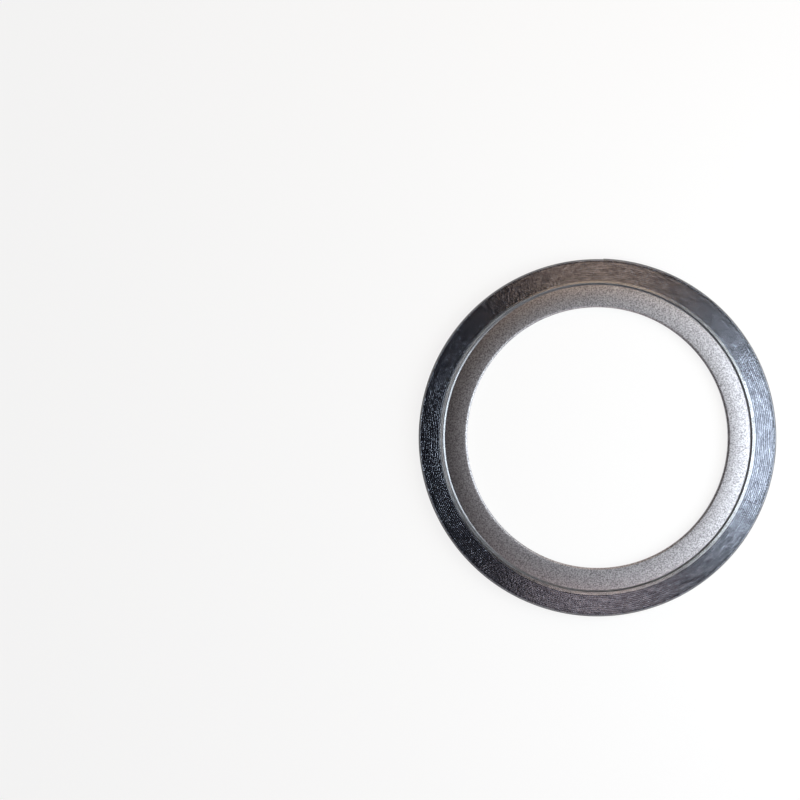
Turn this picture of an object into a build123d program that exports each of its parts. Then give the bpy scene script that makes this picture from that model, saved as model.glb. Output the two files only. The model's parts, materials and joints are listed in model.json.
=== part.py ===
from build123d import *

import os

# Spiral wound gasket: a winding of steel strip and graphite strip, with a solid inner ring.
# Millimetres, +Z up. The origin is the centre of the lower sealing face, so the axis of the
# gasket is Z and the winding lies on Z = 0.

# Inner ring
ring_bore = 108.6
ring_width = 9.0  # flat face, from the bore to the start of the pointed rim
ring_edge_depth = 1.5  # radial depth of the pointed rim that sits in the winding's V
ring_thickness = 3.0
bore_edge_width = 1.0  # the bore's edges roll over: how far in from the bore
bore_edge_drop = 0.5  # and how far down

# Winding
ring_clearance = 0.3  # from the point of the ring's rim to the bottom of the V
v_depth = 0.6  # how far every ply bows outward at mid-height
winding_width = 9.6  # sealing face, from its bore to its rim
winding_height = 4.5
inner_bare_band = 1.0  # plies of bare steel, side by side, at the bore
outer_bare_band = 0.6  # the same at the rim
turns = 8  # turns of steel and graphite between the bare bands
valley_depth = 0.22  # the graphite's lowest line, under the sealing face
crest_drop = 0.04  # the steel's edge, under the bare bands
valley_share = 0.7  # where the valley lies between one steel edge and the next

# Radii and levels that follow, from the bore outwards
bore_radius = ring_bore / 2
ring_face_edge = bore_radius + ring_width
ring_point = ring_face_edge + ring_edge_depth
face_inside = ring_point + ring_clearance - v_depth
face_outside = face_inside + winding_width
turn_pitch = (winding_width - inner_bare_band - outer_bare_band) / turns
middle = winding_height / 2
ring_bottom = middle - ring_thickness / 2
ring_top = middle + ring_thickness / 2


def turn_profile(start, count, face, inward):
    """Saw-toothed strip of section that is cut from a face: one tooth for each turn.

    start is the radius where the first tooth leaves the bare band, face the level of the
    sealing face, and inward the direction into the winding, -1 for down and 1 for up.
    """
    outside_face = face - inward * 1.0
    points = [(start, outside_face), (start, face)]
    for turn in range(count):
        points.append((start + (turn + valley_share) * turn_pitch, face + inward * valley_depth))
        if turn < count - 1:
            points.append((start + (turn + 1) * turn_pitch, face + inward * crest_drop))
    end = start + count * turn_pitch
    return points + [(end, face), (end, outside_face)]


# Winding. A spiral is two sets of half-turns: those on one side of the X axis share a centre
# a quarter of the pitch to the left, and those on the other side one as far to the right.
with BuildPart() as winding:
    with BuildSketch(Plane.XZ):
        with BuildLine():
            Polyline(
                (face_inside, 0),
                (face_inside + v_depth, middle),
                (face_inside, winding_height),
                (face_outside, winding_height),
                (face_outside + v_depth, middle),
                (face_outside, 0),
                close=True,
            )
        make_face()
    revolve(axis=Axis.Z)
    for side, count in ((1, turns), (-1, turns - 1)):
        centre = -side * turn_pitch / 4
        start = face_inside + inner_bare_band + (turns - count) * turn_pitch / 2
        for face, inward in ((winding_height, -1), (0, 1)):
            with BuildSketch(Plane.XZ):
                with BuildLine():
                    profile = turn_profile(centre + start, count, face, inward)
                    Polyline(profile, close=True)
                make_face()
            turn_axis = Axis((centre, 0, 0), (0, 0, side))
            revolve(axis=turn_axis, revolution_arc=180, mode=Mode.SUBTRACT)

# Inner ring, with a pointed rim that the V of the innermost ply holds
with BuildPart() as inner_ring:
    with BuildSketch(Plane.XZ):
        with BuildLine():
            Polyline(
                (bore_radius, ring_bottom + bore_edge_drop),
                (bore_radius + bore_edge_width, ring_bottom),
                (ring_face_edge, ring_bottom),
                (ring_point, middle),
                (ring_face_edge, ring_top),
                (bore_radius + bore_edge_width, ring_top),
                (bore_radius, ring_top - bore_edge_drop),
                close=True,
            )
        make_face()
    revolve(axis=Axis.Z)

os.makedirs("parts", exist_ok=True)

winding.part.label = "winding"
export_step(winding.part, "parts/winding.step")

inner_ring.part.label = "inner_ring"
export_step(inner_ring.part, "parts/inner_ring.step")
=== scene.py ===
"""Dresses the spiral wound gasket: its steel strip and graphite strip as they are wound, and
its inner ring. Metres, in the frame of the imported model."""

import json
import math

import bmesh
import bpy
from mathutils import Matrix, Vector, noise


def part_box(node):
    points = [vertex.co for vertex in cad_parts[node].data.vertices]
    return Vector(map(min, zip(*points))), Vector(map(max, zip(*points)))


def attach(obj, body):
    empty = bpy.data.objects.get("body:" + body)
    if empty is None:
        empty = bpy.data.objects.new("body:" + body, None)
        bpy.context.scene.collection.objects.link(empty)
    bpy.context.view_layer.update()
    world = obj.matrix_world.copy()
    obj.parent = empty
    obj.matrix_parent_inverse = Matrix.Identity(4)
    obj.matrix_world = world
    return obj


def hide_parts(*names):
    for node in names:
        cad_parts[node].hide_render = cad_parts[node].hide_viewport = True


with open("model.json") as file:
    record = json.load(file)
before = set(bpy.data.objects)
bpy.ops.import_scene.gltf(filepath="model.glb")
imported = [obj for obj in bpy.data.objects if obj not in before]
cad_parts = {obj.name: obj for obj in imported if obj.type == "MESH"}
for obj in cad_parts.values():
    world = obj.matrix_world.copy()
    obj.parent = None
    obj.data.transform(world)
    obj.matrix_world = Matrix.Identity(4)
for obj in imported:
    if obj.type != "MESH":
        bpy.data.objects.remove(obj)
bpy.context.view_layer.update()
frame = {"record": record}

MM = 0.001

# Sizes from the frame
ring_low, ring_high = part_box("inner_ring")
roll_low, roll_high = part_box("winding")
mounts = {mount["name"]: mount for mount in frame["record"]["mounts"]}
bore_radius = mounts["pipe_bore"]["dims"]["r_mm"] * MM
mid_height = (roll_low.z + roll_high.z) / 2

# Inner ring
RING_POINT = 64.8 * MM  # radius of the rim's point
RING_FACE_EDGE = 63.45 * MM  # radius where the flat face ends and the rim begins
BORE_EDGE_WIDTH = 1.05 * MM
BORE_EDGE_DROP = 0.5 * MM
BORE_EDGE_STEPS = 8
FACE_EDGE_START = 0.12 * MM  # the face's outer edge is broken: how far inside it this starts
FACE_EDGE_END = 0.03 * MM  # how far outside it this ends
FACE_EDGE_DROP = 0.06 * MM  # and how far down
RIM_BLUNT = 0.06 * MM  # how far the rim's point is cut back
RING_STEPS = 288

# Strips
START_RADIUS = 64.5 * MM  # inner radius of the sealing face, where the strip starts
ROLL_RIM = 74.1 * MM  # outer radius of the sealing face
STRIP_START = math.radians(201)
STRIP_THICKNESS = 0.2 * MM
STRIP_UPRIGHT = 0.7 * MM  # how much of the strip stands straight, above and below the V
V_DEPTH = 0.6 * MM
V_BEND = 0.18 * MM  # height of the rounding at the point of the V, to each side
RIM_ROOM = 0.02 * MM  # left free outside the last ply
BARE_START = [0.16, 0.15, 0.14, 0.14, 0.14, 0.14, 0.13]  # growth of each half-turn, mm
FILLED_HALVES = 21
BARE_END = [0.13, 0.13, 0.13, 0.12]
GRAPHITE_LEAD = 2  # half-turns before the filled ones, where the graphite begins as a thin wedge
SHORT_END = 67  # degrees that the last half-turn takes
STEPS = 144  # for each half-turn
WELD_DISTANCE = 0.0005 * MM  # joins one half-turn to the next
SIDE_INSET = 0.25 * MM  # the strip's rolled faces start this far from its edges
STEEL_UNEVEN = 0.045 * MM  # how far the steel's edges sink and lean
GRAPHITE_UNEVEN = 0.035 * MM
EDGE_SHARE = 0.85  # of half the height: what is further than this from the middle is an edge

# Waves of that unevenness for each mm along the strip, slow and quick, and across the plies
SINK_WAVES = (0.08, 0.4)
LEAN_WAVES = (0.15, 0.6)
PLY_WAVES = 2.5

# How far the innermost ply is out of round: waves in a turn, size in metres, direction in degrees
OUT_OF_ROUND = [(0, -0.02 * MM, 0), (1, 0.48 * MM, 180), (2, 0.26 * MM, 0)]
BARE_SHARE = 0.7  # of that, how much is left at the outside of the bare plies

# Surfaces
SHARP_EDGE = math.radians(35)  # an edge that turns further than this looks sharp
MAP_TURN = 435 * MM  # how much of the strip's map one turn takes
GRAIN_TURN = (0.6, 0.4, 0.0)  # turns the grain's own grid away from the flat faces
STREAK_WIDTH = 1.5 * MM
TONE_STOPS = (0.35, 0.65)  # where a finish's two tones lie in its pattern

# Floor, camera and world
FLOOR_HALF = 6.0  # metres from its middle to its edge
FLOOR_GLOW = 0.85  # how much of the floor's white is its own, to the camera and in reflections
PHOTO_SIZE = 800  # pixels
PHOTO_CENTRE = (597.7, 437.7)  # the gasket's middle in the photograph
PHOTO_RADIUS = 179.7  # its outer radius there
CAMERA_HEIGHT = 1.2  # metres above the gasket
SENSOR_WIDTH = 36.0
WORLD_STRENGTH = 0.014


def hex_colour(text):
    """An sRGB hex value as linear red, green, blue and alpha."""
    values = []
    for place in (0, 2, 4):
        value = int(text[place:place + 2], 16) / 255
        values.append(value / 12.92 if value <= 0.04045 else ((value + 0.055) / 1.055) ** 2.4)
    return (*values, 1.0)


def add_node(tree, kind, settings=None, inputs=None):
    """Adds a shader node. settings are its properties. inputs hold a value, or a socket to link."""
    made = tree.nodes.new(kind)
    for name, value in (settings or {}).items():
        setattr(made, name, value)
    for name, value in (inputs or {}).items():
        if isinstance(value, bpy.types.NodeSocket):
            tree.links.new(value, made.inputs[name])
        else:
            made.inputs[name].default_value = value
    return made


def new_material(name):
    """An empty node material and its tree."""
    made = bpy.data.materials.new(name)
    made.use_nodes = True
    made.node_tree.nodes.clear()
    return made, made.node_tree


def finish_piece(bm, name, materials, node):
    """Turns the bmesh into a piece that rides on the part and stands for a node of the frame."""
    mesh = bpy.data.meshes.new(name)
    bmesh.ops.recalc_face_normals(bm, faces=bm.faces)
    for face in bm.faces:
        face.smooth = True
    for edge in bm.edges:
        if edge.is_manifold and edge.calc_face_angle() > SHARP_EDGE:
            edge.smooth = False
    bm.to_mesh(mesh)
    bm.free()
    for material in materials:
        mesh.materials.append(material)
    piece = bpy.data.objects.new(name, mesh)
    bpy.context.scene.collection.objects.link(piece)
    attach(piece, "root")
    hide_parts(node)
    return piece


def arc_points(centre, size, start, end, count):
    """Points of an elliptical arc in the section plane, radius and height, ends included."""
    points = []
    for place in range(count + 1):
        angle = math.radians(start + (end - start) * place / count)
        points.append((centre[0] + size[0] * math.cos(angle), centre[1] + size[1] * math.sin(angle)))
    return points


# Inner ring


def ring_profile():
    """Closed section of the ring, radius and height: rolled bore edges and a pointed rim."""
    low, high = ring_low.z, ring_high.z
    size = (BORE_EDGE_WIDTH, BORE_EDGE_DROP)
    inside = bore_radius + BORE_EDGE_WIDTH
    face_end = RING_FACE_EDGE - FACE_EDGE_START
    slope_start = RING_FACE_EDGE + FACE_EDGE_END
    rim = RING_POINT - RIM_BLUNT
    lower_bore_edge = arc_points((inside, low + BORE_EDGE_DROP), size, 180, 270, BORE_EDGE_STEPS)
    outside = [
        (face_end, low),
        (slope_start, low + FACE_EDGE_DROP),
        (rim, mid_height - RIM_BLUNT),
        (rim, mid_height + RIM_BLUNT),
        (slope_start, high - FACE_EDGE_DROP),
        (face_end, high),
    ]
    upper_bore_edge = arc_points((inside, high - BORE_EDGE_DROP), size, 90, 180, BORE_EDGE_STEPS)
    return lower_bore_edge + outside + upper_bore_edge


def spin_profile(bm, profile, steps, turned_from):
    """Spins a closed section once round the axis. Faces further out than turned_from get the
    second material."""
    verts = [bm.verts.new((radius, 0, height)) for radius, height in profile]
    edges = [bm.edges.new((verts[i - 1], verts[i])) for i in range(len(verts))]
    bmesh.ops.spin(
        bm, geom=verts + edges, cent=(0, 0, 0), axis=(0, 0, 1),
        angle=math.tau, steps=steps, use_merge=True,
    )
    for face in bm.faces:
        middle = face.calc_center_median()
        face.material_index = 1 if math.hypot(middle.x, middle.y) > turned_from else 0


# Winding


def path_growth():
    """How much further out each half-turn of the steel strip ends, in metres."""
    bare_start = [value * MM for value in BARE_START]
    bare_end = [value * MM for value in BARE_END]
    filled = ROLL_RIM - START_RADIUS - sum(bare_start) - sum(bare_end) - STRIP_THICKNESS - RIM_ROOM
    return bare_start + [filled / FILLED_HALVES] * FILLED_HALVES + bare_end


def strip_section(inner, outer, top):
    """Closed section between two offsets from the strip's path: a V with short upright edges.
    top gives the top edge from the inner side to the outer, as offsets and depths. The lower
    edge is its mirror image."""
    start = roll_high.z - STRIP_UPRIGHT - mid_height
    lean = V_DEPTH * V_BEND / start

    def side(offset, up):
        return [
            (offset, mid_height - up * start),
            (offset + V_DEPTH - lean, mid_height - up * V_BEND),
            (offset + V_DEPTH, mid_height),
            (offset + V_DEPTH - lean, mid_height + up * V_BEND),
            (offset, mid_height + up * start),
        ]

    upper = [(offset, roll_high.z - depth) for offset, depth in top]
    lower = [(offset, roll_low.z + depth) for offset, depth in reversed(top)]
    return side(inner, 1) + upper + side(outer, -1) + lower


def turn_share(point, centre):
    """How far round its half-turn a point lies, from 0 to 1."""
    return abs(math.atan2(point.y, point.x - centre)) / math.pi


def wind(section, first, growths, uneven, bare, fill=False):
    """Winds a closed section into a spiral and gives back its bmesh. Each half-turn turns about a
    centre half its growth off the axis, so it ends that much further out than it began. Half-turns
    in bare get the second material. With fill, the section is as thick everywhere as the room
    between one turn of steel and the next."""
    whole = bmesh.new()
    radius = START_RADIUS + sum(growth[:first])
    for number, (further, sweep) in enumerate(growths, first):
        part = bmesh.new()
        layer = part.loops.layers.uv.new("strip")
        verts = [part.verts.new((radius + offset, 0, height)) for offset, height in section]
        edges = [part.edges.new((verts[i - 1], verts[i])) for i in range(len(verts))]
        centre = -further / 2
        ends = [edges] if number == first else []
        made = bmesh.ops.spin(
            part, geom=verts + edges, cent=(centre, 0, 0), axis=(0, 0, 1),
            angle=math.radians(sweep), steps=round(STEPS * sweep / 180),
        )
        if number == first + len(growths) - 1:
            ends.append([item for item in made["geom_last"] if isinstance(item, bmesh.types.BMEdge)])
        for end in ends:
            bmesh.ops.edgeloop_fill(part, edges=end)
        for face in part.faces:
            for loop in face.loops:
                along = (number + turn_share(loop.vert.co, centre)) * MAP_TURN / 2
                loop[layer].uv = (along, loop.vert.co.z)
            face.material_index = 1 if number in bare else 0
        if fill:
            thin_to_room(part, number, radius - centre, centre)
        settle(part, number, centre, uneven)
        side = 0 if number % 2 == 0 else math.pi
        bmesh.ops.rotate(
            part, verts=part.verts, cent=(0, 0, 0), matrix=Matrix.Rotation(STRIP_START + side, 3, "Z")
        )
        press_out_of_round(part)
        turn = bpy.data.meshes.new("turn")
        part.to_mesh(turn)
        part.free()
        whole.from_mesh(turn)
        bpy.data.meshes.remove(turn)
        radius += further
    bmesh.ops.remove_doubles(whole, verts=whole.verts, dist=WELD_DISTANCE)
    return whole


def thin_to_room(part, number, path, centre):
    """Draws the graphite in to the room that the next turn of steel leaves it. path is the radius
    of the steel's path in this half-turn."""
    for vert in part.verts:
        share = turn_share(vert.co, centre)
        next_turn = (1 - share) * growth[number] + growth[number + 1] + share * growth[number + 2]
        height = abs(vert.co.z - mid_height) / (roll_high.z - STRIP_UPRIGHT - mid_height)
        bow = V_DEPTH * max(0, 1 - height)
        reach = math.hypot(vert.co.x - centre, vert.co.y)
        wide = reach - path - bow - STRIP_THICKNESS
        shift = wide * ((next_turn - STRIP_THICKNESS) / (pitch - STRIP_THICKNESS) - 1)
        way = math.atan2(vert.co.y, vert.co.x - centre)
        vert.co.x += shift * math.cos(way)
        vert.co.y += shift * math.sin(way)


def settle(part, number, centre, uneven):
    """Makes the plies uneven, as wound strip is. Along their way their edges sink by up to uneven,
    and lean by about as much again, differently from ply to ply. The bare numbers inside the noise
    only keep its four patches apart, and the upper edge apart from the lower."""
    for vert in part.verts:
        along = (number + turn_share(vert.co, centre)) * MAP_TURN / 2 / MM
        edge = abs(vert.co.z - mid_height) / (mid_height - roll_low.z)
        if edge > EDGE_SHARE:
            side = 1 if vert.co.z > mid_height else -1
            across = (math.hypot(vert.co.x - centre, vert.co.y) - START_RADIUS) / MM
            ply = across * PLY_WAVES
            rise = noise.noise(Vector((along * SINK_WAVES[0], side * 3.7, 0.3)))
            rise += 0.6 * noise.noise(Vector((along * SINK_WAVES[1], side * 5.1, 7.3)))
            lean = noise.noise(Vector((along * LEAN_WAVES[0], side * 9.1, ply)))
            lean += 0.8 * noise.noise(Vector((along * LEAN_WAVES[1], side * 7.3, ply + 40)))
            vert.co.z -= side * uneven * min(1, max(0, 0.5 + 0.7 * rise))
            vert.co.z -= side * uneven * min(1.2, max(0, 0.4 + 0.8 * lean))


def press_out_of_round(part):
    """The upper edges of the inner plies are not round: they stand off the ring on one side and
    close in on the other. The turns outside them take up the difference."""
    for vert in part.verts:
        radius = math.hypot(vert.co.x, vert.co.y)
        way = math.atan2(vert.co.y, vert.co.x)
        off = sum(
            size * math.cos(times * way - math.radians(turn)) for times, size, turn in OUT_OF_ROUND
        )
        if radius < bare_rim:
            inward = min(1, (bare_rim - radius) / (bare_rim - START_RADIUS))
            inward = BARE_SHARE + (1 - BARE_SHARE) * inward
        else:
            inward = BARE_SHARE * max(0, (ROLL_RIM - radius) / (ROLL_RIM - bare_rim))
        upper = max(0, (vert.co.z - mid_height) / (roll_high.z - mid_height))
        shift = off * inward * upper
        vert.co.x += shift * math.cos(way)
        vert.co.y += shift * math.sin(way)


growth = path_growth()
filled_first = len(BARE_START)
bare_turns = set(range(filled_first))
bare_rim = START_RADIUS + sum(growth[:filled_first])
pitch = 2 * growth[filled_first]
graphite_width = pitch - STRIP_THICKNESS
steel_growths = [(value, 180) for value in growth[:-1]] + [(growth[-1], SHORT_END)]
graphite_first = filled_first - GRAPHITE_LEAD
graphite_growths = [(value, 180) for value in growth[graphite_first:filled_first + FILLED_HALVES]]

# Materials


def metal_finish(name, tones, roughness, grain_size, relief, streak_length=None):
    """A bare metal in two tones, with a fine relief. The tones follow its grain, or streaks along
    the wound strip where a length is given."""
    material, tree = new_material(name)
    place = add_node(tree, "ShaderNodeTexCoord")
    turned = add_node(tree, "ShaderNodeMapping", inputs={
        "Vector": place.outputs["Object"], "Rotation": GRAIN_TURN, "Scale": (1 / grain_size,) * 3})
    grain = add_node(tree, "ShaderNodeTexNoise", inputs={
        "Vector": turned.outputs["Vector"], "Scale": 1.0, "Detail": 2.0, "Roughness": 0.5})
    pattern = grain
    if streak_length:
        strip = add_node(tree, "ShaderNodeUVMap", {"uv_map": "strip"})
        stretch = add_node(tree, "ShaderNodeMapping", inputs={
            "Vector": strip.outputs["UV"], "Scale": (1 / streak_length, 1 / STREAK_WIDTH, 1.0)})
        pattern = add_node(tree, "ShaderNodeTexNoise", inputs={
            "Vector": stretch.outputs["Vector"], "Scale": 1.0, "Detail": 5.0, "Roughness": 0.7})
    tint = add_node(tree, "ShaderNodeValToRGB", inputs={"Fac": pattern.outputs["Fac"]})
    for element, position, tone in zip(tint.color_ramp.elements, TONE_STOPS, tones):
        element.position = position
        element.color = hex_colour(tone)
    bump = add_node(tree, "ShaderNodeBump", inputs={
        "Strength": 1.0, "Distance": relief, "Height": grain.outputs["Fac"]})
    surface = add_node(tree, "ShaderNodeBsdfPrincipled", inputs={
        "Base Color": tint.outputs["Color"], "Metallic": 1.0, "Roughness": roughness,
        "Normal": bump.outputs["Normal"]})
    add_node(tree, "ShaderNodeOutputMaterial", inputs={"Surface": surface.outputs["BSDF"]})
    return material


# The real grain of these surfaces is much finer than the 0.42 mm that one pixel covers, so every
# grain size here is drawn coarser than the real one, as coarse as it needs to show.

# Carbon steel, ground and blasted: an even, fine grain that scatters light
blasted_steel = metal_finish("blasted_carbon_steel", ("7C797D", "BCBABE"), 0.46, 0.55 * MM, 0.009 * MM)

# The same steel turned on a lathe, at the ring's rim: bright, and it mirrors what stands beside it
turned_steel = metal_finish("turned_carbon_steel", ("CCCCCE", "E0E0E2"), 0.28, 0.5 * MM, 0.01 * MM)

# Cold-rolled stainless strip, slit to width: the bare plies' edges are bright and clean
slit_steel = metal_finish(
    "slit_stainless_strip", ("B4B5B8", "F2F3F6"), 0.26, 0.75 * MM, 0.05 * MM, 6 * MM)

# The same strip between graphite plies: its edges are smeared grey and catch the light in specks
smeared_steel = metal_finish(
    "graphite_smeared_strip", ("6E707A", "B2B6C0"), 0.22, 0.75 * MM, 0.28 * MM, 6 * MM)

# The strip's rolled faces, seen on the last ply outside and below mid-height: grey, dull and dark,
# partly graphite stain and partly painted shade for the shade under its own V and on the floor beside
# it
shaded_side_steel = metal_finish(
    "shaded_strip_sides", ("5E5E61", "86878A"), 0.62, 0.6 * MM, 0.03 * MM, 9 * MM)

# The same faces on the bare plies above mid-height: painted lighter than those below, a lit copy of
# them, so they throw more light on the ring's rim
lit_side_steel = metal_finish(
    "lit_strip_sides", ("B6B7BA", "CCCDD0"), 0.34, 0.6 * MM, 0.02 * MM, 9 * MM)

# Flexible graphite strip, pressed between the plies: dark, with a soft metallic sheen
pressed_graphite = metal_finish(
    "flexible_graphite", ("52545E", "80838E"), 0.24, 0.75 * MM, 0.2 * MM, 6 * MM)

# Pieces

ring = bmesh.new()
spin_profile(ring, ring_profile(), RING_STEPS, RING_FACE_EDGE)
finish_piece(ring, "inner_ring_dressed", [blasted_steel, turned_steel], "inner_ring")

# The steel strip's slit edge: rounded at its inner side, and falling away outwards
steel_top = [
    (0, 0.06 * MM),
    (0.05 * MM, 0.01 * MM),
    (0.1 * MM, 0.01 * MM),
    (0.16 * MM, 0.045 * MM),
    (STRIP_THICKNESS, 0.11 * MM),
]
steel_finishes = [smeared_steel, slit_steel, shaded_side_steel, lit_side_steel]
SLIT, SHADED_SIDE, LIT_SIDE = 1, 2, 3  # places in that list
steel_section = strip_section(0, STRIP_THICKNESS, steel_top)
steel = wind(steel_section, 0, steel_growths, STEEL_UNEVEN, bare_turns)
# Rolled side faces get the painted-shade colour, except on the bare plies above mid-height, which get
# its lighter, lit copy
for face in steel.faces:
    height = face.calc_center_median().z
    if abs(height - mid_height) < roll_high.z - mid_height - SIDE_INSET:
        bare_above = face.material_index == SLIT and height > mid_height
        face.material_index = LIT_SIDE if bare_above else SHADED_SIDE
finish_piece(steel, "steel_strip", steel_finishes, "winding")

# The graphite's edge: it sinks outwards, and climbs again where it meets the next ply
graphite_top = [
    (STRIP_THICKNESS, 0.06 * MM),
    (STRIP_THICKNESS + graphite_width * 0.4, 0.14 * MM),
    (STRIP_THICKNESS + graphite_width * 0.8, 0.24 * MM),
    (pitch, 0.07 * MM),
]
graphite_section = strip_section(STRIP_THICKNESS, pitch, graphite_top)
graphite = wind(graphite_section, graphite_first, graphite_growths, GRAPHITE_UNEVEN, (), fill=True)
finish_piece(graphite, "graphite_strip", [pressed_graphite], "winding")

# Floor


def white_floor():
    """Plain white ground that keeps the part's soft shadow."""
    material, tree = new_material("white_ground")
    path = add_node(tree, "ShaderNodeLightPath")
    seen = add_node(tree, "ShaderNodeMath", {"operation": "MAXIMUM"}, {
        0: path.outputs["Is Camera Ray"], 1: path.outputs["Is Glossy Ray"]})
    shown = add_node(tree, "ShaderNodeMath", {"operation": "MAXIMUM"}, {
        0: seen.outputs[0], 1: path.outputs["Is Transmission Ray"]})
    share = add_node(tree, "ShaderNodeMath", {"operation": "MULTIPLY"}, {
        0: shown.outputs[0], 1: FLOOR_GLOW})
    matte = add_node(tree, "ShaderNodeBsdfDiffuse", inputs={"Color": hex_colour("F4F4F4")})
    glow = add_node(tree, "ShaderNodeEmission", inputs={"Strength": 1.0})
    mixed = add_node(tree, "ShaderNodeMixShader", inputs={
        0: share.outputs[0], 1: matte.outputs[0], 2: glow.outputs[0]})
    add_node(tree, "ShaderNodeOutputMaterial", inputs={"Surface": mixed.outputs[0]})
    return material


ground = bmesh.new()
bmesh.ops.create_grid(ground, x_segments=1, y_segments=1, size=FLOOR_HALF)
ground_mesh = bpy.data.meshes.new("ground")
ground.to_mesh(ground_mesh)
ground.free()
ground_mesh.materials.append(white_floor())
floor = bpy.data.objects.new("ground", ground_mesh)
floor.location.z = roll_low.z
bpy.context.scene.collection.objects.link(floor)

# Camera: straight above, with the gasket where the photograph has it
metres_per_pixel = roll_high.x / PHOTO_RADIUS
view_width = PHOTO_SIZE * metres_per_pixel
camera_data = bpy.data.cameras.new("camera")
camera_data.sensor_width = SENSOR_WIDTH
camera_data.lens = SENSOR_WIDTH * CAMERA_HEIGHT / view_width
camera = bpy.data.objects.new("camera", camera_data)
camera.location = (
    -(PHOTO_CENTRE[0] - PHOTO_SIZE / 2) * metres_per_pixel,
    (PHOTO_CENTRE[1] - PHOTO_SIZE / 2) * metres_per_pixel,
    roll_high.z + CAMERA_HEIGHT,
)
bpy.context.scene.collection.objects.link(camera)
bpy.context.scene.camera = camera


def soft_light(name, way, size, power, colour):
    """A soft rectangular lamp aimed at the gasket, hidden from the camera. way gives its azimuth and
    its angle from straight up, in degrees, and its distance."""
    azimuth, tilt = math.radians(way[0]), math.radians(way[1])
    place = way[2] * Vector((
        math.sin(tilt) * math.cos(azimuth), math.sin(tilt) * math.sin(azimuth), math.cos(tilt),
    ))
    lamp = bpy.data.lights.new(name, "AREA")
    lamp.shape = "RECTANGLE"
    lamp.size, lamp.size_y = size
    lamp.energy = power
    lamp.color = hex_colour(colour)[:3]
    holder = bpy.data.objects.new(name, lamp)
    holder.location = place
    holder.rotation_mode = "QUATERNION"
    holder.rotation_quaternion = (-place).to_track_quat("-Z", "Y")
    holder.visible_camera = False
    bpy.context.scene.collection.objects.link(holder)


soft_light("right", (-3, 45, 0.3), (0.3, 0.3), 1.07, "F4FCFF")
soft_light("low_right", (-3, 62, 0.4), (0.3, 0.2), 0.7, "E8F6FF")
soft_light("back", (84, 50, 0.45), (0.3, 0.3), 0.53, "FFDCBA")
soft_light("front", (276, 50, 0.45), (0.3, 0.3), 0.46, "FFECE8")

world = bpy.data.worlds.new("studio")
world.use_nodes = True
world_tree = world.node_tree
world_tree.nodes.clear()
dim = add_node(world_tree, "ShaderNodeBackground", inputs={
    "Color": hex_colour("D8DCFF"), "Strength": WORLD_STRENGTH})
add_node(world_tree, "ShaderNodeOutputWorld", inputs={"Surface": dim.outputs[0]})
bpy.context.scene.world = world
bpy.context.scene.view_settings.view_transform = "Standard"
